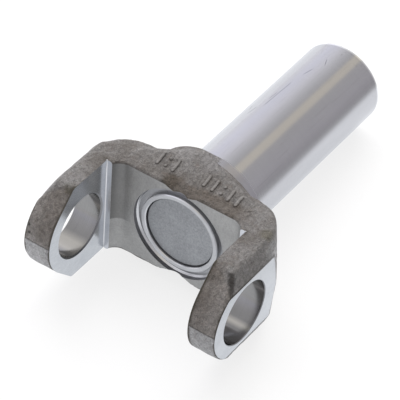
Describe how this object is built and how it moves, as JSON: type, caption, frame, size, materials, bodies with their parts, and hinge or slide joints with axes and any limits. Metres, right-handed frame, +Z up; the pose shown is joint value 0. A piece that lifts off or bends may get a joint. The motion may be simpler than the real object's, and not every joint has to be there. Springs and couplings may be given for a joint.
{
  "type": "driveshaft slip yoke",
  "caption": "Forged slip yoke with bored ears, a plugged saddle and a long ground barrel that is splined inside.",
  "frame": {"origin": "centre of the joint, where the barrel's axis meets the axis of the two cup bores", "axes": "+X along the barrel, away from the ears; +Y along the cup bores; +Z up, square to both"},
  "size_m": [0.1636, 0.093, 0.0552],
  "materials": {
    "forged_steel": "as-forged grey-brown skin with machined and ground faces",
    "plug_steel": "plain stamped steel"
  },
  "bodies": {
    "root": {"yoke_forging": "forged_steel", "expansion_plug": "plug_steel"}
  },
  "joints": []
}
